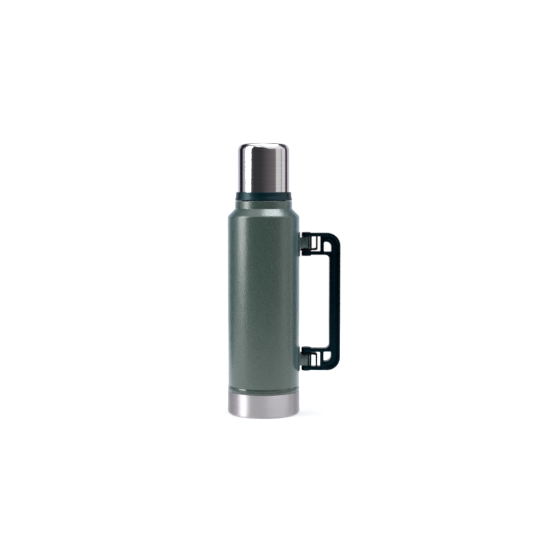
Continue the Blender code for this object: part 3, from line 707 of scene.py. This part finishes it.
def make_cup(steel, inner_steel):
    """The steel cup worn as the lid: its outer wall and its inner wall."""
    r, top = CUP_HIGH.x, CUP_HIGH.z
    corners = [(0.0, top, 0), (0.0180, top - 0.0003, 0.0500), (r, top - 0.0008, 0.0086)]
    corners += [(r, CUP_LOW.z, 0)]
    mesh = lathe_mesh("cup_outside", walled(corners, CUP_WALL))
    settle(new_piece("cup_outside", mesh, steel), "cup", "brushed_steel", "cup_shell")

    r, top, foot = 0.0316, LINER_HIGH.z, LINER_LOW.z
    corners = [(0.0, top, 0), (r, top, 0.0056), (r, foot + 0.0008, 0.0008)]
    corners += [(LINER_HIGH.x, foot + 0.0005, 0)]
    mesh = lathe_mesh("cup_inside", walled(corners, CUP_WALL))
    settle(new_piece("cup_inside", mesh, inner_steel), "cup", "plain_steel", "cup_liner")


def make_collar(plastic):
    """Thread collar at the cup's mouth: a channel for the walls above, one for the seal below."""
    low, high, wide, bore = COLLAR_LOW.z, COLLAR_HIGH.z, COLLAR_HIGH.x, COLLAR_BORE_R
    wall_in, wall_out, wall_z, lip_z = 0.03405, 0.03535, high - 0.0068, high - 0.0004
    seal_in, seal_out, seal_z = 0.0342, 0.0366, low + 0.0021
    corners = [(wall_out, lip_z, 0.0002), (0.0357, high, 0.0003), (0.0376, high, 0.0007)]
    corners += [(0.0378, low + 0.0062, 0.0060), (0.0387, low + 0.0024, 0.0020)]
    corners += [(wide, low + 0.0011, 0.0006), (wide - 0.0010, low, 0.0003), (seal_out, low, 0.0002)]
    corners += [(seal_out, seal_z, 0.0002), (seal_in, seal_z, 0.0002), (seal_in, low, 0.0002)]
    corners += [(bore, low, 0.0006), (bore, lip_z, 0.0003), (wall_in, lip_z, 0.0001)]
    corners += [(wall_in, wall_z, 0.0001), (wall_out, wall_z, 0.0001)]
    ring = lathe_mesh("collar", filleted(corners, pieces=4))
    place = {"start_z": 0.2960, "turns": 1.2, "phase": math.pi}
    ridge = thread_mesh("collar_ridge", bore, 0.03135, **place)
    mesh = joined_mesh("cup_mouth_collar", [ring, ridge])
    piece = new_piece("cup_mouth_collar", mesh, plastic)
    settle(piece, "cup", "collar_plastic", "cup_collar")


# ---------------------------------------------------------------- handle


def half_depth(x):
    """Half the handle's depth: as slim as the ears at the pins, widest in the grip."""
    arm = eased((x - PIN_X) / (EAR_END_X - PIN_X))
    grip = eased((x - GRIP_START_X[0]) / (GRIP_START_X[1] - GRIP_START_X[0]))
    slim = EAR_HALF_Y + (ARM_HALF_Y - EAR_HALF_Y) * arm
    return slim + (GRIP_HALF_Y - ARM_HALF_Y) * grip


def raised(points):
    """Heights counted from the handle's middle turned into heights above the floor."""
    return [(x, HANDLE_MID_Z + h) for x, h in points]


def groove_arc(radius, pieces):
    """Round the handle's corner, about the centre that both sides of the groove share."""
    centre_h = ARM_TOP - RIM_H - (CORNER_R - RIM_X)
    return arc(GRIP_OUT_X - CORNER_R, centre_h, radius, 90, 0, pieces)


def rim_outline():
    """Rim that runs from ear to ear round the handle's outside."""
    near_x, far_x = 0.0720, 0.0800  # points on its straight sides, where its depth changes
    outer = [(PIN_X, ARM_TOP), (near_x, ARM_TOP)]
    outer += arc(GRIP_OUT_X - CORNER_R, ARM_TOP - CORNER_R, CORNER_R, 90, 0, 20)
    inner = groove_arc(CORNER_R - RIM_X, 20)[::-1]
    inner += [(far_x, OUTER_BAR), (near_x, OUTER_BAR), (PIN_X, OUTER_BAR)]
    return outer + mirrored(outer) + mirrored(inner) + inner


def inner_outline():
    """Grip's inner ridge with both inner bars and the thick bars, out to the groove."""
    under_rim = OUTER_BAR + LAP
    corner = groove_arc(CORNER_R - RIM_X - GROOVE, 14)
    outer = [(WINDOW_X, under_rim), (GROOVE_X, under_rim)] + corner
    inner = [(GRIP_IN_X, 0.0, 0), (GRIP_IN_X, ARM_FOOT, ARM_CORNER_R), (PIN_X, ARM_FOOT, 0)]
    inner += [(PIN_X, INNER_BAR, 0), (WINDOW_X, INNER_BAR, 0.0010), (WINDOW_X, under_rim, 0)]
    inner = filleted(inner, False, 8)[1:-1]
    return outer + mirrored(outer) + mirrored(inner) + inner


def corner_window():
    """Opening at the corner of the handle, roundest towards the corner."""
    near, far, low, high = 0.0824, 0.0925, 0.0688, 0.0822
    corners = [(near, low, 0.0014), (far, low, 0.0012), (far, high, 0.0070), (near, high, 0.0020)]
    return filleted(corners, pieces=8)


def groove_floor():
    """The recessed web between the rim and the inner ridge."""
    start_x = GROOVE_X - 0.0010
    outer = groove_arc(CORNER_R - RIM_X + LAP, 16)
    inner = groove_arc(CORNER_R - RIM_X - GROOVE - LAP, 16)[::-1]
    outer = [(start_x, outer[0][1])] + outer
    inner = inner + [(start_x, inner[-1][1])]
    return outer + mirrored(outer) + mirrored(inner) + inner


def ear_mesh(half, dome):
    """Boss round the pin, 2 * half tall and domed on top."""
    hole = PIN_R + GAP
    corners = [(hole, half, 0.0003), (EAR_R, half, dome)]
    corners += [(EAR_R, -half, 0.0005), (hole, -half, 0.0003)]
    return moved(lathe_mesh("ear", filleted(corners), PIN_AROUND), PIN_X)


def make_handle(plastic):
    """Handle of layers: rim, inner ridge, the web between them, the hoods, and the ears."""
    window, (hood_in, hood_out), top = corner_window(), HOOD_X, OUTER_BAR + LAP
    hood = [(hood_in, HOOD_FOOT, 0.0006), (hood_out, HOOD_FOOT, 0.0006)]
    hood = filleted(hood + [(hood_out, top, 0), (hood_in, top, 0)])
    ridge = [raised(points) for points in (inner_outline(), window, mirrored(window))]
    layers = [upright_mesh("rim", [raised(rim_outline())], GRIP_HALF_Y, 0.0015)]
    layers += [upright_mesh("ridge", ridge, GRIP_HALF_Y - 0.0003, 0.0008)]
    layers += [upright_mesh("web", [raised(groove_floor())], GROOVE_FLOOR_Y, 0.0003)]
    for name, points in (("hood", hood), ("lower_hood", mirrored(hood))):
        layers += [upright_mesh(name, [raised(points)], GRIP_HALF_Y - 0.0004, 0.0005)]
    for layer in layers:
        for vert in layer.vertices:
            vert.co.y *= half_depth(vert.co.x) / GRIP_HALF_Y
    for side in (1, -1):
        for (low, high), dome, outward in ((OUTER_EAR, 0.0020, 1), (INNER_EAR, 0.0008, -1)):
            ear = ear_mesh((high - low) / 2, dome)
            ear.transform(Matrix.Diagonal((1, 1, side * outward, 1)))
            layers.append(moved(ear, z=HANDLE_MID_Z + side * (low + high) / 2))
    mesh = joined_mesh("handle", layers)
    settle(new_piece("handle", mesh, plastic), "handle", "handle_plastic", "handle_frame")


def span(side, heights):
    """Lowest and highest z of a stretch that is given by heights from the handle's middle."""
    return sorted(HANDLE_MID_Z + side * h for h in heights)


def strap_outline():
    """Section of the strap: round the pin, its two legs drawing together and flared at the plate.

    The legs start inside the plate and run straight, so they touch the round at FOLD degrees.
    """
    face_x, hole_r = PLATE_IN_R + 0.0006, PIN_R + GAP
    taper = math.radians(FOLD - 90)

    def foot(radius):
        return (radius - (PIN_X - face_x) * math.sin(taper)) / math.cos(taper)

    flare = [(face_x, foot(BARREL_R) + 0.0012), (face_x + 0.0004, foot(BARREL_R) + 0.0004)]
    flare += [(face_x + 0.0014, foot(BARREL_R) + 0.0002)]
    outer = arc(PIN_X, 0.0, BARREL_R, FOLD, -FOLD, 48) + mirrored(flare)
    inner = arc(PIN_X, 0.0, hole_r, -FOLD, FOLD, 36)
    return flare + outer + [(face_x, -foot(hole_r))] + inner + [(face_x, foot(hole_r))]


def bracket_plate(low, high):
    """Foot plate, welded to the body: a flat plate with round corners, bent round the body."""
    slices = 24
    radius = PLATE_IN_R + PLATE_THICK / 2
    reach = radius * PLATE_HALF_ANGLE
    places = ((-reach, low), (reach, low), (reach, high), (-reach, high))
    outline = filleted([(*place, PLATE_CORNER_R) for place in places], pieces=8)
    mesh = upright_mesh("plate", [outline], PLATE_THICK / 2, 0.0003)
    shape = bmesh.new()
    shape.from_mesh(mesh)
    bmesh.ops.remove_doubles(shape, verts=shape.verts, dist=MERGE)
    for i in range(1, slices):
        cut = -reach + 2 * reach * i / slices
        everything = shape.verts[:] + shape.edges[:] + shape.faces[:]
        bmesh.ops.bisect_plane(shape, geom=everything, plane_co=(cut, 0, 0), plane_no=(1, 0, 0))
    for vert in shape.verts:
        angle, out = vert.co.x / radius, radius - vert.co.y
        vert.co = (out * math.cos(angle), out * math.sin(angle), vert.co.z)
    shape.to_mesh(mesh)
    shape.free()
    return mesh


def cam_outline():
    """Round cam with a flat for each rest position, and a tail that reaches the bracket plate."""
    flat = math.degrees(math.acos(CAM_FLAT / CAM_R))
    join = 180 - math.degrees(math.asin(CAM_TAIL_HALF / CAM_R))
    tail_x = PLATE_IN_R + PLATE_THICK + GAP
    points = arc(PIN_X, 0.0, CAM_R, flat - FOLD, -flat, 14)
    points += arc(PIN_X, 0.0, CAM_R, flat, FOLD - flat, 14)
    rear = arc(PIN_X, 0.0, CAM_R, FOLD + flat, join, 10)
    return points + rear + [(tail_x, CAM_TAIL_HALF), (tail_x, -CAM_TAIL_HALF)] + mirrored(rear)


def tongue_meshes(side):
    """Detent tongue, and the toe at its foot that is hollowed to ride round the cam."""
    (near, far), foot = TONGUE_X, TOE[0]
    corners = [(near, TONGUE_HEAD, 0), (near, 0.0740, 0.0008), (TOE_X, 0.0735, 0.0006)]
    corners += [(TOE_X, foot, 0.0004), (0.0712, foot, 0.0010), (far, foot + 0.0012, 0.0012)]
    corners += [(far, TONGUE_HEAD, 0)]
    outline = [(x, HANDLE_MID_Z + side * h) for x, h in filleted(corners)]
    upright = upright_mesh("upright", [outline], TONGUE_HALF_Y, 0.0003)
    back_x = TOE_X + 0.0008
    hollow = arc(PIN_X, 0.0, CAM_R + GAP, 30, -30, 16)
    toe = [(back_x, -TONGUE_HALF_Y), (back_x, TONGUE_HALF_Y)] + hollow
    return [upright, level_mesh("toe", [toe], span(side, TOE), 0.0003)]


def make_hinge(word, side, paint, black, steel):
    """One hinge of the handle; side is 1 for the upper one and -1 for the lower one."""
    strap = level_mesh("strap", [strap_outline()], span(side, STRAP), 0.0002)
    plate = bracket_plate(*span(side, PLATE))
    piece = new_piece(f"{word}_hinge_bracket", joined_mesh("bracket", [plate, strap]), paint)
    settle(piece, "bottle", "bracket_paint", f"{word}_bracket")

    hole = arc(PIN_X, 0.0, PIN_R + GAP, 0, 360 - 360 / PIN_AROUND, PIN_AROUND - 1)
    cam = level_mesh("cam", [cam_outline(), hole], span(side, CAM), 0.0004)
    piece = new_piece(f"{word}_click_cam", cam, black)
    settle(piece, "bottle", "black_plastic", f"{word}_detent_cam")

    tongue = joined_mesh("tongue", tongue_meshes(side))
    piece = new_piece(f"{word}_click_tongue", tongue, black)
    settle(piece, "handle", "black_plastic", f"{word}_detent_spring")

    low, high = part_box(f"{word}_hinge_pin")
    corners = [(0.0, high.z, 0), (PIN_R, high.z, 0.0006), (PIN_R, low.z, 0.0006), (0.0, low.z, 0)]
    pin = moved(lathe_mesh("pin", filleted(corners, False), PIN_AROUND), PIN_X)
    settle(new_piece(f"{word}_pivot", pin, steel), "handle", "plain_steel", f"{word}_hinge_pin")


# ---------------------------------------------------------------- studio


def make_floor():
    """A round pale table top that glows a little, so it stays nearly white under soft light."""
    values = {"Roughness": 0.9, "Specular_IOR_Level": 0.1, "Emission_Strength": 0.58}
    made, n, shader = new_material("pale_floor", **values)
    grain = n.noise(n.position(), 300.0, 3.0)
    shade = n.mix(n.ramp(grain, (0.3, 0.0), (0.7, 1.0)), (0.60, 0.60, 0.60), (0.63, 0.63, 0.63))
    wire(n, shader, Base_Color=shade, Emission_Color=shade)
    corners = [(0.0, 0.0, 0), (FLOOR_R, 0.0, 0.004), (FLOOR_R, -FLOOR_THICK, 0.004)]
    corners += [(0.0, -FLOOR_THICK, 0)]
    floor = new_piece("floor", lathe_mesh("floor", filleted(corners, False), 128), made)


def make_cards():
    """Dark cards at either side, low and out of the picture, that show only in reflections."""
    made, n, shader = new_material("dark_card", Roughness=0.9, Specular_IOR_Level=0.1)
    felt = n.ramp(n.noise(n.position(), 500.0, 2.0), (0.3, 0.0), (0.7, 1.0))
    wire(n, shader, Base_Color=n.mix(felt, (0.010, 0.012, 0.018), (0.02, 0.023, 0.03)))
    for name, x, near, far in CARDS:
        left, right = x - CARD_HALF, x + CARD_HALF
        edge = [(left, near), (right, near), (right, far), (left, far)]
        card = new_piece(name, level_mesh(name, [edge], (0.0, CARD_TOP), 0.0002), made)
        card.visible_camera = card.visible_diffuse = card.visible_shadow = False


def area_light(name, place, target, width, height, power, colour):
    """A softbox at a place, turned towards the target."""
    data = bpy.data.lights.new(name, "AREA")
    data.shape = "RECTANGLE"
    data.size, data.size_y = width, height
    data.energy = power
    data.color = colour
    light = bpy.data.objects.new(name, data)
    light.location = place
    light.rotation_euler = (Vector(target) - Vector(place)).to_track_quat("-Z", "Y").to_euler()
    bpy.context.scene.collection.objects.link(light)


def make_lights():
    place, target, colour = (-1.05, -0.345, 0.70), (0, 0, 0.32), (0.98, 0.98, 0.98)
    area_light("left_softbox", place, target, 0.56, 1.10, 10.8, colour)
    place, target, colour = (0.38, 0.06, 1.60), (0.10, 0, 0.0), (0.93, 0.965, 1.0)
    area_light("top_softbox", place, target, 0.95, 0.88, 16.8, colour)


def make_world():
    """A studio that the flask mirrors all round, while the camera itself sees plain white.

    The walls go by azimuth in degrees, from straight behind the flask by way of the left, the
    camera's side and the right: dark behind the camera, pale at the sides, with dark flags
    between. Above them the rear is dark. High up, a bright panel fills the front and comes
    lower towards the right; the rest is a glow by its place across, brightest on the left of
    the middle.
    """
    world = bpy.data.worlds.new("studio")
    bpy.context.scene.world = world
    world.use_nodes = True
    n = Nodes(world.node_tree)
    towards = n.add("ShaderNodeTexCoord").outputs["Generated"]
    way = n.add("ShaderNodeSeparateXYZ", {"Vector": towards}).outputs
    azimuth = n.math("ARCTAN2", way["X"], n.math("MULTIPLY", way["Y"], -1.0))
    walls = (
        (-180, (0.78, 0.81, 0.90)),
        (-137, (0.64, 0.65, 0.74)),
        (-133, (0.012, 0.012, 0.02)),
        (-110, (0.012, 0.012, 0.02)),
        (-106, (0.38, 0.38, 0.44)),
        (-97, (0.69, 0.69, 0.78)),
        (-62, (0.60, 0.60, 0.64)),
        (-60, (0.10, 0.10, 0.11)),
        (-45, (0.05, 0.048, 0.05)),
        (-10, (0.055, 0.052, 0.053)),
        (45, (0.20, 0.18, 0.19)),
        (56, (0.24, 0.22, 0.22)),
        (58, (0.86, 0.85, 0.84)),
        (82, (0.84, 0.83, 0.83)),
        (87, (0.34, 0.34, 0.36)),
        (93, (0.90, 0.90, 0.89)),
        (111, (0.90, 0.89, 0.88)),
        (114, (0.10, 0.055, 0.075)),
        (131, (0.08, 0.045, 0.065)),
        (135, (0.66, 0.67, 0.75)),
        (180, (0.78, 0.81, 0.90)),
    )
    turn = n.math("ADD", n.math("DIVIDE", azimuth, 2 * math.pi), 0.5)
    shade = n.ramp(turn, *((angle / 360 + 0.5, colour) for angle, colour in walls))

    rear = n.ramp(way["Y"], (0.10, 0.0), (0.30, 1.0))
    upper = n.ramp(way["Z"], (0.30, 0.0), (0.46, 1.0))
    dark = n.ramp(way["X"], (0.20, (0.018, 0.018, 0.022)), (0.45, (0.08, 0.08, 0.085)))
    shade = n.mix(n.math("MULTIPLY", rear, upper), shade, dark)

    glow = (
        (-0.50, (0.45, 0.46, 0.48)),
        (-0.28, (2.60, 2.66, 2.75)),
        (-0.02, (2.30, 2.35, 2.43)),
        (0.12, (0.58, 0.59, 0.61)),
    )
    across = n.math("MULTIPLY_ADD", way["X"], 0.5, 0.5)
    overhead = n.ramp(across, *((x / 2 + 0.5, colour) for x, colour in glow))
    shade = n.mix(n.ramp(way["Z"], (0.66, 0.0), (0.82, 1.0)), shade, overhead)

    lean = n.math("MULTIPLY_ADD", way["X"], 0.75, way["Z"])
    front = n.ramp(rear, (0.0, 1.0), (1.0, 0.0))
    panel = n.math("MULTIPLY", n.ramp(lean, (0.62, 0.0), (0.68, 1.0)), front)
    panel = n.math("MULTIPLY", panel, n.ramp(way["Z"], (0.26, 0.0), (0.42, 1.0)))
    shade = n.mix(panel, shade, (1.15, 1.17, 1.20))

    seen = n.add("ShaderNodeLightPath").outputs["Is Camera Ray"]
    shade = n.mix(seen, shade, (1.0, 1.0, 1.0))
    n.tree.links.new(shade, n.tree.nodes["Background"].inputs["Color"])


def make_camera():
    """At the height of the collar, 1.51 m away, tilted down a little."""
    tilt = math.radians(3.55)
    data = bpy.data.cameras.new("camera")
    data.lens, data.sensor_width = 74.4, 36.0
    data.clip_start, data.clip_end = 0.01, 50.0
    camera = bpy.data.objects.new("camera", data)
    camera.location = (0.0039, -1.510, 0.2958)
    camera.rotation_euler = (math.pi / 2 - tilt, 0.0, 0.0)
    bpy.context.scene.collection.objects.link(camera)
    bpy.context.scene.camera = camera


def dress(node, material):
    """Gives a CAD node that stays as it is a better material."""
    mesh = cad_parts[node].data
    mesh.materials.clear()
    mesh.materials.append(material)


def main():
    low, high, spark = (0.026, 0.057, 0.041), (0.033, 0.069, 0.050), (0.23, 0.28, 0.26)
    paint = hammertone("hammertone_green", low, high, spark, 0.40)
    low, high, spark = (0.027, 0.064, 0.062), (0.034, 0.078, 0.076), (0.12, 0.20, 0.20)
    bracket = hammertone("hammertone_bracket", low, high, spark, 0.05)
    steel = brushed("brushed_steel", (0.71, 0.68, 0.705), 0.50, 1.0)
    polished = brushed("polished_steel", (0.68, 0.67, 0.685), 0.10, 0.4)
    inner_steel = brushed("spun_steel", (0.60, 0.60, 0.60), 0.30, 0.5, 3000.0)
    satin = satin_steel("satin_steel", (0.60, 0.60, 0.60), 0.28)
    colour, tint = (0.0002, 0.0030, 0.0052), (0.12, 0.66, 1.0)
    green = moulded("green_black_plastic", colour, 0.27, 0.06, 0.20, 0.004, tint)
    colour, tint = (0.0003, 0.0140, 0.0190), (0.50, 0.85, 1.0)
    collar = moulded("collar_plastic", colour, 0.30, 0.08, 0.42, 0.003, tint)
    black = moulded("black_plastic", (0.0005, 0.0012, 0.0018), 0.40, 0.06, 0.10, 0.004, tint)
    rubber = soft_seal("grey_silicone", (0.34, 0.35, 0.35))
    foam = foamed("white_foam", (0.85, 0.85, 0.82))
    foil = crumpled_foil("bright_foil", (0.80, 0.80, 0.81))

    make_shell(paint)
    make_base(steel)
    make_neck(satin)
    make_plug(green)
    make_grip(green)
    make_gasket("rim_gasket", 0.0256, 0.0278, 0.0005, RIM_SEAL, rubber, "stopper_rings", "rim_seal")
    make_cup(polished, inner_steel)
    make_collar(collar)
    make_gasket("cup_gasket", 0.0345, 0.0363, 0.0007, CUP_SEAL, rubber, "cup_ring", "cup_seal")
    make_handle(green)
    make_hinge("upper", 1, bracket, black, satin)
    make_hinge("lower", -1, bracket, black, satin)

    for node in ("inner_liner", "closing_pan"):
        dress(node, inner_steel)
    for node in ("evacuation_seal", "getter_pellet"):
        dress(node, satin)
    for node in ("stopper_core", "cup_insulation"):
        dress(node, foam)
    dress("seal_holder", green)
    dress("stopper_seal", rubber)
    dress("radiation_foil", foil)

    make_floor()
    make_cards()
    make_lights()
    make_world()
    make_camera()
    bpy.context.scene.view_settings.view_transform = "Standard"


main()
